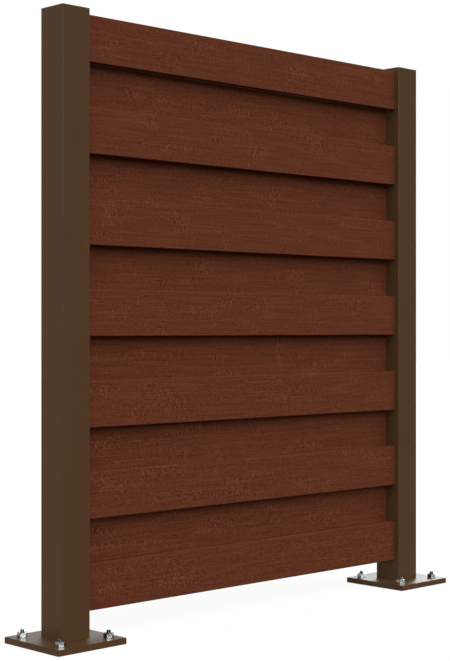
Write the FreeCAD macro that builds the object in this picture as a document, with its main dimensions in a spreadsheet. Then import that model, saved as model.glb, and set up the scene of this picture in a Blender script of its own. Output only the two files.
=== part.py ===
import FreeCAD, Part
import math
import os
import Sketcher

# One bay of a composite slat fence: two square steel posts welded on bolted base plates, and
# hollow composite boards in two layers between them. The boards of one layer cover the gaps
# of the other and lap them slightly.
# The origin is the centre of the left base plate's underside, at ground level. X runs along
# the fence to the right post, the front looks towards -Y, and Z is up. Lengths are in mm.

document = FreeCAD.newDocument("slat_fence")

# Driving dimensions
dimensions = [
    ("post_width", 100.0, "outer side of the square post"),
    ("post_wall", 3.0, "wall of the post"),
    ("post_corner_radius", 2.0, "outer corners of the post"),
    ("post_bore_radius", 1.0, "inner corners of the post"),
    ("post_overrun", 13.4, "how far the posts stand above the highest board"),
    ("clear_bay", 1412.0, "clear width between the posts"),
    ("plate_side", 250.0, "side of the square base plate"),
    ("plate_thickness", 18.0, "thickness of the base plate"),
    ("plate_corner_radius", 2.0, "corners of the base plate"),
    ("plate_chamfer", 1.0, "broken upper edge of the base plate"),
    ("bolt_spacing", 176.0, "distance between the bolt holes along each side"),
    ("bolt_hole", 14.0, "diameter of the bolt holes, for 12 mm anchors"),
    ("cap_clearance", 0.3, "gap between the cap and the inside of the post"),
    ("cap_thickness", 3.0, "top of the cap"),
    ("cap_depth", 24.0, "whole depth of the cap with its skirt"),
    ("cap_skirt", 2.0, "wall of the cap's skirt"),
    ("cap_edge", 0.5, "broken upper edge of the cap"),
    ("board_height", 136.0, "height of a board"),
    ("board_thickness", 27.0, "thickness of a board"),
    ("board_edge_radius", 2.5, "rounded long edges of a board"),
    ("board_wall", 4.5, "outer wall of the hollow board"),
    ("board_rib", 4.0, "ribs between the chambers of the board"),
    ("chamber_bevel", 3.0, "thickened corners of the chambers, and the spigots' edges to suit"),
    ("board_lap", 3.6, "how far a board laps the next one in the other layer"),
    ("board_inset", 17.6, "how far a board's face lies behind the post's face"),
    ("board_end_gap", 0.3, "gap between a board's end and the post"),
    ("panel_bottom", 89.8, "height of the lowest board's edge above the ground"),
    ("spigot_length", 45.0, "reach of a spigot into the board's middle chamber"),
    ("spigot_wall", 2.5, "wall of the spigot"),
    ("spigot_lead_in", 1.0, "bevel round the tip of the spigot"),
    ("spigot_clearance", 0.3, "gap between the spigot and the chamber"),
]
frontBoards = 7
rearBoards = frontBoards - 1
chambers = 3
plateCorners = 4

sheet = document.addObject("Spreadsheet::Sheet", "sizes")
for row, (alias, number, meaning) in enumerate(dimensions, start=1):
    sheet.set("A%d" % row, meaning)
    sheet.set("B%d" % row, str(number))
    sheet.setAlias("B%d" % row, alias)
document.recompute()

# Sizes that follow from the driving ones, as expressions on the sheet
boardPitch = "(sizes.board_height - sizes.board_lap)"
panelHeight = "(sizes.board_height + %d * %s)" % (frontBoards + rearBoards - 1, boardPitch)
postTop = "(sizes.panel_bottom + %s + sizes.post_overrun)" % panelHeight
postLength = "(%s - sizes.plate_thickness)" % postTop
postSpacing = "(sizes.clear_bay + sizes.post_width)"
postBore = "(sizes.post_width - 2 * sizes.post_wall)"
innerFace = "(sizes.post_width / 2)"
capSide = "(%s - 2 * sizes.cap_clearance)" % postBore
capBore = "(%s - 2 * sizes.cap_skirt)" % capSide
boardLength = "(sizes.clear_bay - 2 * sizes.board_end_gap)"
boardMiddle = "(sizes.post_width / 2 - sizes.board_inset - sizes.board_thickness / 2)"
chamberDepth = "(sizes.board_thickness - 2 * sizes.board_wall)"
chamberHeight = "((sizes.board_height - 2 * sizes.board_wall - %d * sizes.board_rib) / %d)" % (
    chambers - 1, chambers)
chamberPitch = "(%s + sizes.board_rib)" % chamberHeight
spigotDepth = "(%s - 2 * sizes.spigot_clearance)" % chamberDepth
spigotHeight = "(%s - 2 * sizes.spigot_clearance)" % chamberHeight
spigotBoreDepth = "(%s - 2 * sizes.spigot_wall)" % spigotDepth
spigotBoreHeight = "(%s - 2 * sizes.spigot_wall)" % spigotHeight

# Points of a sketch's lines and arcs, and the sketch's own origin and vertical axis
start, end, centre = 1, 2, 3
origin, upright = -1, -2
hair = 0.001


def value(expression):
    # The present number of an expression, in mm
    return float(sheet.evalExpression(expression))


def half(expression):
    return "(%s / 2)" % expression


def boardCentre(step):
    # Height of the middle of the board that lies this many steps above the lowest one
    return "(sizes.panel_bottom + sizes.board_height / 2 + %d * %s)" % (step, boardPitch)


def newBody(name, x, y, z):
    # A sub-part whose place is bound to the sheet
    body = document.addObject("PartDesign::Body", name)
    body.Label = name
    body.setExpression("Placement.Base.x", x)
    body.setExpression("Placement.Base.y", y)
    body.setExpression("Placement.Base.z", z)
    return body


def newSketch(body, name, role):
    # A sketch on one of the body's own origin planes
    sketch = body.newObject("Sketcher::SketchObject", name)
    planes = [item for item in body.Origin.OriginFeatures if item.Role == role]
    sketch.AttachmentSupport = [(planes[0], "")]
    sketch.MapMode = "FlatFace"
    return sketch


def constrain(sketch, kind, *places):
    return sketch.addConstraint(Sketcher.Constraint(kind, *places))


def bind(sketch, name, kind, places, expression):
    # A dimension of a sketch, bound to the sheet
    index = constrain(sketch, kind, *places, value(expression))
    sketch.renameConstraint(index, name)
    sketch.setExpression("Constraints." + name, expression)


def bindSides(sketch, name, lines, width, height, below):
    # Levels a rectangle's four sides, centres it on the vertical axis and sizes it. The lines
    # run bottom, right, top, left. The bottom lies the distance below under the origin.
    bottom, right, top, left = lines
    constrain(sketch, "Symmetric", bottom, start, bottom, end, upright)
    constrain(sketch, "Vertical", right)
    constrain(sketch, "Horizontal", top)
    constrain(sketch, "Vertical", left)
    bind(sketch, name + "_width", "DistanceX", (left, start, right, start), width)
    bind(sketch, name + "_height", "DistanceY", (bottom, start, top, end), height)
    bind(sketch, name + "_below", "DistanceY", (bottom, start, origin, start), below)


def addLine(sketch, points):
    first, last = [FreeCAD.Vector(*point) for point in points]
    return sketch.addGeometry(Part.LineSegment(first, last))


def drawRectangle(sketch, name, width, height, below):
    across = value(width) / 2
    low = -value(below)
    high = low + value(height)
    corners = [(-across, low), (across, low), (across, high), (-across, high)]
    lines = [addLine(sketch, side) for side in zip(corners, corners[1:] + corners[:1])]
    for line, following in zip(lines, lines[1:] + lines[:1]):
        constrain(sketch, "Coincident", line, end, following, start)
    bindSides(sketch, name, lines, width, height, below)


def drawRoundedRectangle(sketch, name, width, height, radius, below):
    across = value(width) / 2
    low = -value(below)
    high = low + value(height)
    corner = value(radius)
    near = across - corner
    sides = [
        ((-near, low), (near, low)),
        ((across, low + corner), (across, high - corner)),
        ((near, high), (-near, high)),
        ((-across, high - corner), (-across, low + corner)),
    ]
    centres = [
        (near, low + corner),
        (near, high - corner),
        (-near, high - corner),
        (-near, low + corner),
    ]
    lines = [addLine(sketch, side) for side in sides]
    arcs = []
    quarter = math.pi / 2
    for number, point in enumerate(centres):
        circle = Part.Circle(FreeCAD.Vector(*point), FreeCAD.Vector(0, 0, 1), corner)
        turn = (number - 1) * quarter
        arcs.append(sketch.addGeometry(Part.ArcOfCircle(circle, turn, turn + quarter)))
    for line, arc, following in zip(lines, arcs, lines[1:] + lines[:1]):
        constrain(sketch, "Tangent", line, end, arc, start)
        constrain(sketch, "Tangent", arc, end, following, start)
    for arc in arcs[1:]:
        constrain(sketch, "Equal", arcs[0], arc)
    bindSides(sketch, name, lines, width, height, below)
    bind(sketch, name + "_radius", "Radius", (arcs[0],), radius)


def addPad(body, name, sketch, length):
    pad = body.newObject("PartDesign::Pad", name)
    pad.Profile = sketch
    pad.setExpression("Length", length)
    document.recompute()
    return pad


def addPocket(body, name, sketch, length):
    # A pocket into the solid that stands on the sketch's plane, on the side of its normal
    before = body.Shape.Volume
    pocket = body.newObject("PartDesign::Pocket", name)
    pocket.Profile = sketch
    pocket.Reversed = True
    pocket.setExpression("Length", length)
    document.recompute()
    checkLess(body, before)
    return pocket


def addRow(body, name, features, sketch, pitch, count):
    # Equal copies of features up the sketch's vertical axis
    row = body.newObject("PartDesign::LinearPattern", name)
    if features:
        row.Originals = features
    else:
        row.TransformMode = "Whole shape"
    row.Direction = (sketch, ["V_Axis"])
    row.Mode = "Spacing"
    row.Occurrences = count
    row.setExpression("Offset", pitch)
    body.Tip = row
    document.recompute()
    return row


def addChamfer(body, name, base, size, chosen):
    # Bevels those edges of the base feature whose bounding box passes the test
    edges = enumerate(base.Shape.Edges, start=1)
    names = ["Edge%d" % number for number, edge in edges if chosen(edge.BoundBox)]
    chamfer = body.newObject("PartDesign::Chamfer", name)
    chamfer.Base = (base, names)
    chamfer.setExpression("Size", size)
    document.recompute()
    return chamfer


def checkLess(body, before):
    # A cut that points the wrong way would leave the volume as it was
    if body.Shape.Volume > before - hair:
        raise RuntimeError(body.Label + " has a cut that removes nothing")


def onTop(expression):
    # Test for edges that lie at this height
    level = value(expression)
    return lambda box: box.ZMin > level - hair


def buildPost(name, x):
    # Square tube, standing on the base plate
    body = newBody(name, x, "0", "sizes.plate_thickness")
    side = "sizes.post_width"
    outline = newSketch(body, name + "_outline", "XY_Plane")
    drawRoundedRectangle(outline, "outer", side, side, "sizes.post_corner_radius", half(side))
    addPad(body, name + "_length", outline, postLength)
    bore = newSketch(body, name + "_bore_outline", "XY_Plane")
    drawRoundedRectangle(bore, "inner", postBore, postBore, "sizes.post_bore_radius", half(postBore))
    addPocket(body, name + "_bore", bore, postLength)
    return body


def buildCap(name, x):
    # Push-in cap, flush with the top of the post, with a skirt inside the tube
    body = newBody(name, x, "0", postTop + " - sizes.cap_depth")
    outline = newSketch(body, name + "_outline", "XY_Plane")
    drawRoundedRectangle(outline, "outer", capSide, capSide, "sizes.post_bore_radius", half(capSide))
    block = addPad(body, name + "_depth", outline, "sizes.cap_depth")
    addChamfer(body, name + "_edge", block, "sizes.cap_edge", onTop("sizes.cap_depth"))
    hollow = newSketch(body, name + "_hollow_outline", "XY_Plane")
    drawRectangle(hollow, "inner", capBore, capBore, half(capBore))
    addPocket(body, name + "_hollow", hollow, "sizes.cap_depth - sizes.cap_thickness")
    return body


def buildBasePlate(name, x):
    # Square plate with a bolt hole near each corner
    body = newBody(name, x, "0", "0")
    side = "sizes.plate_side"
    outline = newSketch(body, name + "_outline", "XY_Plane")
    drawRoundedRectangle(outline, "plate", side, side, "sizes.plate_corner_radius", half(side))
    slab = addPad(body, name + "_slab", outline, "sizes.plate_thickness")
    addChamfer(body, name + "_edge", slab, "sizes.plate_chamfer", onTop("sizes.plate_thickness"))
    before = body.Shape.Volume
    hole = addBoltHole(body, name)
    holes = body.newObject("PartDesign::PolarPattern", name + "_holes")
    holes.Originals = [hole]
    holes.Axis = (hole.Profile[0], ["N_Axis"])
    holes.Angle = 360
    holes.Occurrences = plateCorners
    body.Tip = holes
    document.recompute()
    checkLess(body, before)
    return body


def addBoltHole(body, name):
    # One hole through the plate, half the spacing away from the middle both ways
    spot = newSketch(body, name + "_hole_centre", "XY_Plane")
    offset = half("sizes.bolt_spacing")
    middle = FreeCAD.Vector(value(offset), value(offset), 0)
    ring = Part.Circle(middle, FreeCAD.Vector(0, 0, 1), value(half("sizes.bolt_hole")))
    circle = spot.addGeometry(ring)
    bind(spot, "along", "DistanceX", (origin, start, circle, centre), offset)
    bind(spot, "across", "DistanceY", (origin, start, circle, centre), offset)
    bind(spot, "bore", "Diameter", (circle,), "sizes.bolt_hole")
    document.recompute()
    hole = body.newObject("PartDesign::Hole", name + "_hole")
    hole.Profile = spot
    hole.DepthType = "ThroughAll"
    hole.Reversed = True
    hole.setExpression("Diameter", "sizes.bolt_hole")
    document.recompute()
    return hole


def buildBoard(name, y, step):
    # Hollow extruded board with rounded long edges and a row of bevelled chambers
    body = newBody(name, "%s + sizes.board_end_gap" % innerFace, y, boardCentre(step))
    section = newSketch(body, name + "_section", "YZ_Plane")
    drawRoundedRectangle(section, "board", "sizes.board_thickness", "sizes.board_height",
                         "sizes.board_edge_radius", half("sizes.board_height"))
    addPad(body, name + "_length", section, boardLength)
    opening = newSketch(body, name + "_chamber_section", "YZ_Plane")
    drawRectangle(opening, "chamber", chamberDepth, chamberHeight,
                  "(sizes.board_height / 2 - sizes.board_wall)")
    chamber = addPocket(body, name + "_chamber", opening, boardLength)
    row = addRow(body, name + "_chambers", [chamber], opening, chamberPitch, chambers)
    side = value(half(chamberDepth))
    highest = value("sizes.board_height / 2 - sizes.board_wall")

    def isChamberCorner(box):
        inside = abs(box.Center.z) < highest + hair
        return box.XLength > hair and inside and abs(abs(box.Center.y) - side) < hair

    bevel = addChamfer(body, name + "_bevels", row, "sizes.chamber_bevel", isChamberCorner)
    body.Tip = bevel
    return body


def buildSpigots(name, x, y, step, count, turned):
    # Short tubes on the post's inner face, one in the middle chamber of each board of a layer
    body = newBody(name, x, y, boardCentre(step))
    body.AllowCompound = True
    if turned:
        body.Placement.Rotation = FreeCAD.Rotation(FreeCAD.Vector(0, 0, 1), 180)
    section = newSketch(body, name + "_section", "YZ_Plane")
    drawRectangle(section, "outer", spigotDepth, spigotHeight, half(spigotHeight))
    drawRectangle(section, "inner", spigotBoreDepth, spigotBoreHeight, half(spigotBoreHeight))
    tube = addPad(body, name + "_tube", section, "sizes.spigot_length")
    boreSide = value(half(spigotBoreDepth)) + hair
    boreTop = value(half(spigotBoreHeight)) + hair
    tip = value("sizes.spigot_length") - hair

    def isLongEdge(box):
        return box.XLength > hair and abs(box.Center.y) > boreSide and abs(box.Center.z) > boreTop

    def isTipEdge(box):
        return box.XMin > tip and (abs(box.Center.y) > boreSide or abs(box.Center.z) > boreTop)

    bevelled = addChamfer(body, name + "_bevels", tube, "sizes.chamber_bevel", isLongEdge)
    addChamfer(body, name + "_lead_in", bevelled, "sizes.spigot_lead_in", isTipEdge)
    addRow(body, name + "_row", [], section, "2 * " + boardPitch, count)
    return body


parts = []
for side, x in (("left", "0"), ("right", postSpacing)):
    parts.append(buildPost(side + "_post", x))
    parts.append(buildCap(side + "_post_cap", x))
    parts.append(buildBasePlate(side + "_base_plate", x))
for number in range(frontBoards):
    parts.append(buildBoard("front_board_%d" % (number + 1), "-" + boardMiddle, 2 * number))
for number in range(rearBoards):
    parts.append(buildBoard("rear_board_%d" % (number + 1), boardMiddle, 2 * number + 1))
for side, x, turned in (("left", innerFace, False), ("right", postSpacing + " - " + innerFace, True)):
    parts.append(buildSpigots(side + "_front_spigots", x, "-" + boardMiddle, 0, frontBoards, turned))
    parts.append(buildSpigots(side + "_rear_spigots", x, boardMiddle, 1, rearBoards, turned))
document.recompute()

# Every object has to be sound before anything is written
for item in document.Objects:
    if "Invalid" in item.State or "Error" in item.State:
        raise RuntimeError(item.Label + " failed")
for part in parts:
    if part.Shape.isNull() or not part.Shape.isValid():
        raise RuntimeError(part.Label + " has no valid shape")

os.makedirs("parts", exist_ok=True)
for part in parts:
    part.Shape.exportStep("parts/" + part.Label + ".step")
    print(part.Label, len(part.Shape.Solids), round(part.Shape.Volume))
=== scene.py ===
import math
import bpy
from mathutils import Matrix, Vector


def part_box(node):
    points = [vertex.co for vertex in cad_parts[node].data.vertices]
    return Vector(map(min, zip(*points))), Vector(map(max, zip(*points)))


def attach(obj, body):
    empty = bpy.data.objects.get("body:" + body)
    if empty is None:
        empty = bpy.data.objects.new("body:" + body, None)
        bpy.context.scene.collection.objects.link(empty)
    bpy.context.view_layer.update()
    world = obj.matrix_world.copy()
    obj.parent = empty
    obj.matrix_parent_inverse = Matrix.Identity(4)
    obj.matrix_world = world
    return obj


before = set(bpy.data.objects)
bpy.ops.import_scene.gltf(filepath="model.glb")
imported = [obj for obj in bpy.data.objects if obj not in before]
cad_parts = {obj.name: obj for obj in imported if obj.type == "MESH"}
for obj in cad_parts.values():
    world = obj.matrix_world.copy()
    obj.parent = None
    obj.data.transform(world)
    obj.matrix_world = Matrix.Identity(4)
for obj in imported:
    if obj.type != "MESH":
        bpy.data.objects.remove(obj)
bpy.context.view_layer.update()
print("frame loaded")


class Wire:  # one output of a shader node, so that shader maths is written as Python
    def __init__(self, paint, socket):
        self.paint = paint
        self.socket = socket

    def maths(self, operation, *values):
        return self.paint.node("ShaderNodeMath", {"operation": operation}, dict(enumerate(values)))

    def __add__(self, other):
        return self.maths("ADD", self, other)

    def __sub__(self, other):
        return self.maths("SUBTRACT", self, other)

    def __rsub__(self, other):
        return self.maths("SUBTRACT", other, self)

    def __mul__(self, other):
        return self.maths("MULTIPLY", self, other)

    __radd__ = __add__
    __rmul__ = __mul__

    def __abs__(self):
        return self.maths("ABSOLUTE", self)

    def larger(self, other):
        return self.maths("MAXIMUM", self, other)

    def rise(self, low, high):  # 0 below low, 1 above high, smooth between
        return self.paint.node("ShaderNodeMapRange", {"interpolation_type": "SMOOTHSTEP"},
                               {"Value": self, "From Min": low, "From Max": high})


class Paint:  # the nodes of one material, or of the world
    def __init__(self, owner):
        owner.use_nodes = True
        self.owner = owner
        self.tree = owner.node_tree
        self.tree.nodes.clear()

    def node(self, kind, settings=None, inputs=None, output=0):
        made = self.tree.nodes.new(kind)
        for key, setting in (settings or {}).items():
            setattr(made, key, setting)
        for key, given in (inputs or {}).items():
            if isinstance(given, Wire):
                self.tree.links.new(given.socket, made.inputs[key])
            else:
                made.inputs[key].default_value = given
        return Wire(self, made.outputs[output]) if made.outputs else made

    def place(self, scale, shift=(0, 0, 0)):  # the point on the piece, in metres, stretched and moved
        here = self.node("ShaderNodeTexCoord", output="Object")
        return self.node("ShaderNodeMapping", None, {"Vector": here, "Scale": scale, "Location": shift})

    def noise(self, scale, detail=2, roughness=0.5, shift=(0, 0, 0), wander=0):
        where = self.place(scale, shift)
        return self.node("ShaderNodeTexNoise", None, {"Vector": where, "Scale": 1, "Detail": detail,
                                                      "Roughness": roughness, "Distortion": wander})

    def part(self, vector, axis):  # X, Y or Z of a vector
        return self.node("ShaderNodeSeparateXYZ", None, {0: vector}, axis)

    def blend(self, factor, first, second):  # mixes two colours
        return self.node("ShaderNodeMix", {"data_type": "RGBA"}, {0: factor, 6: first, 7: second}, 2)

    def surface(self, inputs, height, depth):  # the surface shader, with its height as a bump
        inputs["Normal"] = self.node("ShaderNodeBump", None, {"Height": height, "Distance": depth})
        shader = self.node("ShaderNodeBsdfPrincipled", None, inputs)
        self.node("ShaderNodeOutputMaterial", None, {"Surface": shader})
        return self.owner


def newPaint(name):
    return Paint(bpy.data.materials.new(name))


def colour(red, green, blue):  # a screen colour, 0 to 255, as the linear colour that shaders take
    def linear(part):
        share = part / 255
        return share / 12.92 if share <= 0.04045 else ((share + 0.055) / 1.055) ** 2.4
    return (linear(red), linear(green), linear(blue), 1)


def tinted(base, share):  # the same colour, darker or lighter
    return tuple(part * share for part in base[:3]) + (1,)


def plain(value):  # a grey, or white
    return (value, value, value, 1)


# Boards: red-brown composite with an embossed wood grain. Scales are in waves a metre
boardLook = {
    "colour": colour(92, 50, 33),
    "contrast": 0.7,
    "roughness": 0.6,
    "fleckRoughness": 0.3,
    "ior": 1.05,
    "grainDepth": 0.0003,
    "boardShift": (3.7, 1.9, 5.3),  # from the grain of one board to the next
    # Marks, as noise: long fine lines, short lines, mottling of a few millimetres, short upright marks
    "streak": {"share": 0.6, "scale": (5.5, 80, 210), "detail": 1.5, "rough": 0.5, "wander": 0.2,
               "middle": 0.5, "low": -0.1},
    "dash": {"share": 0.15, "scale": (28, 120, 260), "detail": 2, "rough": 0.5, "wander": 0.3,
             "middle": 0.5, "low": -0.5},
    "fleck": {"share": 1.15, "scale": (130, 200, 230), "detail": 2, "rough": 0.6, "wander": 0,
              "middle": 0.5, "low": -0.12},
    "tick": {"share": 1.35, "scale": (190, 90, 85), "detail": 1, "rough": 0.5, "wander": 0,
             "middle": 0.48, "low": -0.05},
    # Patches, in which the upright marks lie and the mottling is stronger
    "patch": {"scale": (7, 9, 26), "detail": 2, "rough": 0.55, "low": 0.46, "high": 0.68},
    "fleckOutside": 0.8,  # the mottling's strength outside a patch
    "fleckInside": 0.6,  # and what a patch adds to it
}


def grainMark(paint, kind, shift):  # a noise about zero, cut off below
    look = boardLook[kind]
    noise = paint.noise(look["scale"], look["detail"], look["rough"], shift, look["wander"])
    return (noise - look["middle"]).larger(look["low"])


def boardMaterial(name, number):
    paint = newPaint(name)
    shift = tuple(number * step for step in boardLook["boardShift"])
    kinds = ("streak", "dash", "fleck", "tick")
    streak, dash, fleck, tick = [grainMark(paint, kind, shift) for kind in kinds]
    look = boardLook["patch"]
    patch = paint.noise(look["scale"], look["detail"], look["rough"], shift)
    patch = patch.rise(look["low"], look["high"])
    fleck = fleck * (boardLook["fleckOutside"] + boardLook["fleckInside"] * patch)
    tone = 0.5 + boardLook["streak"]["share"] * streak + boardLook["dash"]["share"] * dash
    tone = tone + boardLook["fleck"]["share"] * fleck + boardLook["tick"]["share"] * tick * patch
    dark = tinted(boardLook["colour"], 1 - boardLook["contrast"])
    light = tinted(boardLook["colour"], 1 + boardLook["contrast"])
    inputs = {
        "Base Color": paint.blend(tone, dark, light),
        "Roughness": boardLook["roughness"] + boardLook["fleckRoughness"] * fleck,
        "IOR": boardLook["ior"],
    }
    return paint.surface(inputs, tone, boardLook["grainDepth"])


# Posts, plates and caps: dark brown powder coat, which has run smoother on the flat plates
coatLook = {
    "colour": colour(77, 54, 32),
    "edgePaintedShade": 0.6,  # painted shade: how much of the colour is left on rounded edges, darkened so that they show no light line
    "roughness": 0.45,
    "ior": 1.22,
    "cloudScale": (9, 9, 9),
    "cloudDetail": 3,
    "cloudShade": 0.04,
    "cloudRoughness": 0.06,
    "peelScale": (700, 700, 700),
    "peelDepth": 0.00002,
    "plateFilm": 0.3,
    "topPaintedShade": 0.76,  # painted shade: how much of the colour is left on faces that look up, so that they are no brighter than the sides
    "filmRoughness": 0.48,
    "filmIor": 1.25,
    "levelFrom": (0.8, 0.98),  # how squarely a flat face looks along its axis
}


def coatMaterial(name, film):
    paint = newPaint(name)
    base = coatLook["colour"]
    peel = paint.noise(coatLook["peelScale"])
    cloud = paint.noise(coatLook["cloudScale"], coatLook["cloudDetail"])
    reach = coatLook["cloudShade"]
    shade = paint.blend(cloud, tinted(base, 1 - reach), tinted(base, 1 + reach))
    normal = paint.node("ShaderNodeNewGeometry", output="Normal")
    x, y, z = [paint.part(normal, axis) for axis in "XYZ"]
    flat = abs(x).larger(abs(y)).larger(abs(z)).rise(*coatLook["levelFrom"])
    # painted shade: rounded edges get a darker colour in place of the light line they would catch
    shade = paint.blend(flat, tinted(base, coatLook["edgePaintedShade"]), shade)
    inputs = {
        "Base Color": shade,
        "Roughness": coatLook["roughness"] + coatLook["cloudRoughness"] * (cloud - 0.5),
        "IOR": coatLook["ior"],
    }
    if film:  # only where the surface faces up
        upward = z.rise(*coatLook["levelFrom"])
        # painted shade: the colour is darker where the surface faces up, under the film
        inputs["Base Color"] = paint.blend(upward, shade, tinted(base, coatLook["topPaintedShade"]))
        inputs["Coat Weight"] = film * upward
        inputs["Coat Roughness"] = coatLook["filmRoughness"]
        inputs["Coat IOR"] = coatLook["filmIor"]
    return paint.surface(inputs, peel, coatLook["peelDepth"])


# Anchors: zinc-plated studs and hexagon nuts
anchorSize = {
    "studRadius": 0.0069,
    "pitch": 0.002,
    "threadDepth": 0.0012,
    "stepsPerTurn": 10,
    "studTop": 0.0225,  # above the plate
    "studBevel": 0.0012,
    "studHidden": 0.003,  # how far the thread goes down into the nut
    "nutAcross": 0.0265,
    "nutHeight": 0.0148,
    "nutBevel": 0.0008,
    "rimShare": 0.96,  # the round rim of the nut's ends, as a share of the width across flats
    "rimSlope": 30,
    "play": 0.0001,
    "spacing": 0.176,
    "segments": 48,
}
zincLook = {
    "nut": colour(136, 138, 136),
    "stud": colour(112, 114, 115),
    "nutRoughness": 0.22,
    "studRoughness": 0.22,
    "cloudScale": (160, 160, 160),
    "cloudShade": 0.85,  # how much of the colour is left in the darker clouds
    "spangleScale": (900, 900, 900),
    "spangleRoughness": 0.1,
    "spangleDepth": 0.00002,
}


def zincMaterial(name, base, roughness):
    paint = newPaint(name)
    spangle = paint.noise(zincLook["spangleScale"])
    cloud = paint.noise(zincLook["cloudScale"])
    inputs = {
        "Base Color": paint.blend(cloud, tinted(base, zincLook["cloudShade"]), base),
        "Metallic": 1.0,
        "Roughness": roughness + zincLook["spangleRoughness"] * (spangle - 0.5),
    }
    return paint.surface(inputs, spangle, zincLook["spangleDepth"])


def turned(name, centre, rings, closed, material):  # a piece turned about an upright axis
    count = anchorSize["segments"]
    points, faces = [], []
    for ring in rings:
        for step in range(count):
            angle = 2 * math.pi * step / count
            radius, height = ring(angle)
            points.append((centre[0] + radius * math.cos(angle), centre[1] + radius * math.sin(angle),
                           centre[2] + height))
    levels = list(range(len(rings)))
    for low, high in zip(levels, levels[1:] + (levels[:1] if closed else [])):
        for step in range(count):
            following = (step + 1) % count
            faces.append([low * count + step, low * count + following,
                          high * count + following, high * count + step])
    if not closed:
        faces.append(list(reversed(range(count))))
        faces.append([levels[-1] * count + step for step in range(count)])
    mesh = bpy.data.meshes.new(name)
    mesh.from_pydata(points, [], faces)
    mesh.materials.append(material)
    piece = bpy.data.objects.new(name, mesh)
    bpy.context.scene.collection.objects.link(piece)
    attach(piece, "root")


def evenRing(radius, height):
    return lambda angle: (radius, height)


def nutRings(size):
    flat = size["nutAcross"] / 2
    high = size["nutHeight"]
    bore = size["studRadius"] + size["play"]
    rim = flat * size["rimShare"]
    slope = math.tan(math.radians(size["rimSlope"]))
    bevel = size["nutBevel"]

    def side(angle):  # from the axis to the hexagon
        return flat / math.cos((angle + math.pi / 6) % (math.pi / 3) - math.pi / 6)

    return [
        evenRing(bore, bevel), evenRing(bore + bevel, 0), evenRing(rim, 0),
        lambda angle: (side(angle), (side(angle) - rim) * slope),
        lambda angle: (side(angle), high - (side(angle) - rim) * slope),
        evenRing(rim, high), evenRing(bore + bevel, high), evenRing(bore, high - bevel),
    ]


def studRings(size):
    major, depth, pitch = size["studRadius"] - size["play"], size["threadDepth"], size["pitch"]
    top = size["studTop"]
    foot = size["nutHeight"] - size["studHidden"]
    steps = round((top - foot) / pitch * size["stepsPerTurn"])
    rings = [evenRing(major - depth, 0)]
    for step in range(steps + 1):
        height = foot + (top - foot) * step / steps

        def thread(angle, height=height):
            turn = (height / pitch - angle / (2 * math.pi)) % 1
            bevel = max(0, height - (top - size["studBevel"]))
            return (min(major - depth * abs(2 * turn - 1), major - bevel), height)
        rings.append(thread)
    return rings


def buildAnchors():
    nutPaint = zincMaterial("nut_zinc", zincLook["nut"], zincLook["nutRoughness"])
    studPaint = zincMaterial("stud_zinc", zincLook["stud"], zincLook["studRoughness"])
    half = anchorSize["spacing"] / 2
    for side in ("left", "right"):
        low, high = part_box(side + "_base_plate")
        middle = [(first + last) / 2 for first, last in zip(low, high)]
        corners = [(-half, -half), (half, -half), (half, half), (-half, half)]
        for number, (across, along) in enumerate(corners, start=1):
            centre = (middle[0] + across, middle[1] + along, high[2])
            name = "%s_anchor_%d_" % (side, number)
            turned(name + "nut", centre, nutRings(anchorSize), True, nutPaint)
            turned(name + "stud", centre, studRings(anchorSize), False, studPaint)
    print("anchors built")


def dressFrame():
    coat = coatMaterial("powder_coat", 0)
    plateCoat = coatMaterial("plate_coat", coatLook["plateFilm"])
    zinc = zincMaterial("spigot_zinc", zincLook["nut"], zincLook["nutRoughness"])
    boards = 0
    for name, piece in sorted(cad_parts.items()):
        if "board" in name:
            boards += 1
            material = boardMaterial(name + "_grain", boards)
        elif "spigots" in name:
            material = zinc
        elif "plate" in name:
            material = plateCoat
        else:
            material = coat
        piece.data.materials.clear()
        piece.data.materials.append(material)
    print("boards, posts and plates dressed")


# Floor, light and camera. Turns are in degrees from straight behind the fence
studio = {
    "floorSize": 60,
    "floorWhite": 0.8,  # share of plain white in the floor that the camera sees
    "floorSeen": 0.78,  # grey of the rest, which takes the shadow
    "floorBounce": 0.04,  # grey of the floor as the object's sides are lit by it
    "floorWhiteFrom": (-0.4, 0.3),  # where along Y the mirrored floor turns white
    "dome": 1.98,
    "domeTurn": 235,  # the dome's brighter side
    "domeLean": 0.2,
    "flag": (310, 0.5, 0.9, 0.93),  # its darker corner: turn, reach from and to, light taken away
    "lowSky": 0.17,
    "skyFrom": (0, 0.25),
    "backdropFrom": (-0.25, 0.25),
    "frontDim": 0.04,  # the part of the room that only the gloss shows
    "panels": [(66, 30, 0.94, 0.99, 16.8), (207, 0, 0.88, 0.97, 32.0)],  # turn, lift, reach, light
    "glossTint": (0.96, 1, 0.98, 1),
}
view = {
    "lens": 81.442,
    "turn": 43.196,
    "place": (-2.7055, -3.3630, 0.9078),
    "shift": (0.0681, -0.00356),
}


def ray(paint, kind):
    return paint.node("ShaderNodeLightPath", output=kind)


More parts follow.
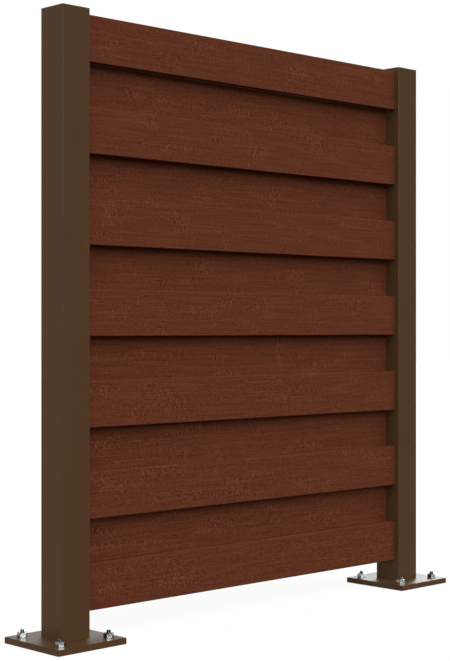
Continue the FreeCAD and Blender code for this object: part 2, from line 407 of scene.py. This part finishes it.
def buildFloor():
    half = studio["floorSize"] / 2
    corners = [(-half, -half, 0), (half, -half, 0), (half, half, 0), (-half, half, 0)]
    mesh = bpy.data.meshes.new("floor")
    mesh.from_pydata(corners, [], [(0, 1, 2, 3)])
    floor = bpy.data.objects.new("floor", mesh)
    bpy.context.scene.collection.objects.link(floor)
    paint = newPaint("floor_white")
    along = paint.part(paint.place((1, 1, 1)), "Y")
    near = studio["frontDim"] + (1 - studio["frontDim"]) * along.rise(*studio["floorWhiteFrom"])
    glossy = ray(paint, "Is Glossy Ray") * near
    seen = ray(paint, "Is Camera Ray").larger(glossy).larger(ray(paint, "Is Transmission Ray"))
    shade = paint.blend(seen, plain(studio["floorBounce"]), plain(studio["floorSeen"]))
    soft = paint.node("ShaderNodeBsdfDiffuse", None, {"Color": shade})
    white = paint.node("ShaderNodeEmission", None, {"Color": plain(1), "Strength": 1.0})
    mixed = paint.node("ShaderNodeMixShader", None, {0: seen * studio["floorWhite"], 1: soft, 2: white})
    paint.node("ShaderNodeOutputMaterial", None, {"Surface": mixed})
    mesh.materials.append(paint.owner)


def facing(paint, toward, turn, lift=0):  # 1 that way, -1 the other way
    aside, up = math.radians(turn), math.radians(lift)
    aim = (math.cos(up) * math.sin(aside), math.cos(up) * math.cos(aside), math.sin(up))
    return paint.node("ShaderNodeVectorMath", {"operation": "DOT_PRODUCT"}, {0: toward, 1: aim}, "Value")


def buildWorld():
    world = bpy.data.worlds.new("studio")
    bpy.context.scene.world = world
    paint = Paint(world)
    toward = paint.node("ShaderNodeTexCoord", output="Generated")
    backdrop = facing(paint, toward, 0).rise(*studio["backdropFrom"])
    mirrored = studio["frontDim"] + (1 - studio["frontDim"]) * backdrop
    for turn, lift, low, high, light in studio["panels"]:
        mirrored = mirrored + light * facing(paint, toward, turn, lift).rise(low, high)
    sky = paint.part(toward, "Z").rise(*studio["skyFrom"])
    dome = studio["dome"] * (studio["lowSky"] + (1 - studio["lowSky"]) * sky)
    turn, low, high, taken = studio["flag"]
    lean = studio["domeLean"] * facing(paint, toward, studio["domeTurn"])
    dome = dome * (1 + lean - taken * facing(paint, toward, turn).rise(low, high))
    glossy = ray(paint, "Is Glossy Ray")
    direct = ray(paint, "Is Camera Ray").larger(ray(paint, "Is Transmission Ray"))
    strength = direct + glossy * mirrored + (1 - glossy - direct) * dome
    tint = paint.blend(glossy, plain(1), studio["glossTint"])
    light = paint.node("ShaderNodeBackground", None, {"Color": tint, "Strength": strength})
    paint.node("ShaderNodeOutputWorld", None, {"Surface": light})
    print("floor and light set")


def buildCamera():
    lens = bpy.data.cameras.new("camera")
    lens.lens = view["lens"]
    lens.shift_x, lens.shift_y = view["shift"]
    camera = bpy.data.objects.new("camera", lens)
    camera.location = view["place"]
    camera.rotation_euler = (math.pi / 2, 0, -math.radians(view["turn"]))
    bpy.context.scene.collection.objects.link(camera)
    bpy.context.scene.camera = camera
    print("camera set")


bpy.context.scene.view_settings.view_transform = "Standard"
dressFrame()
buildAnchors()
buildFloor()
buildWorld()
buildCamera()
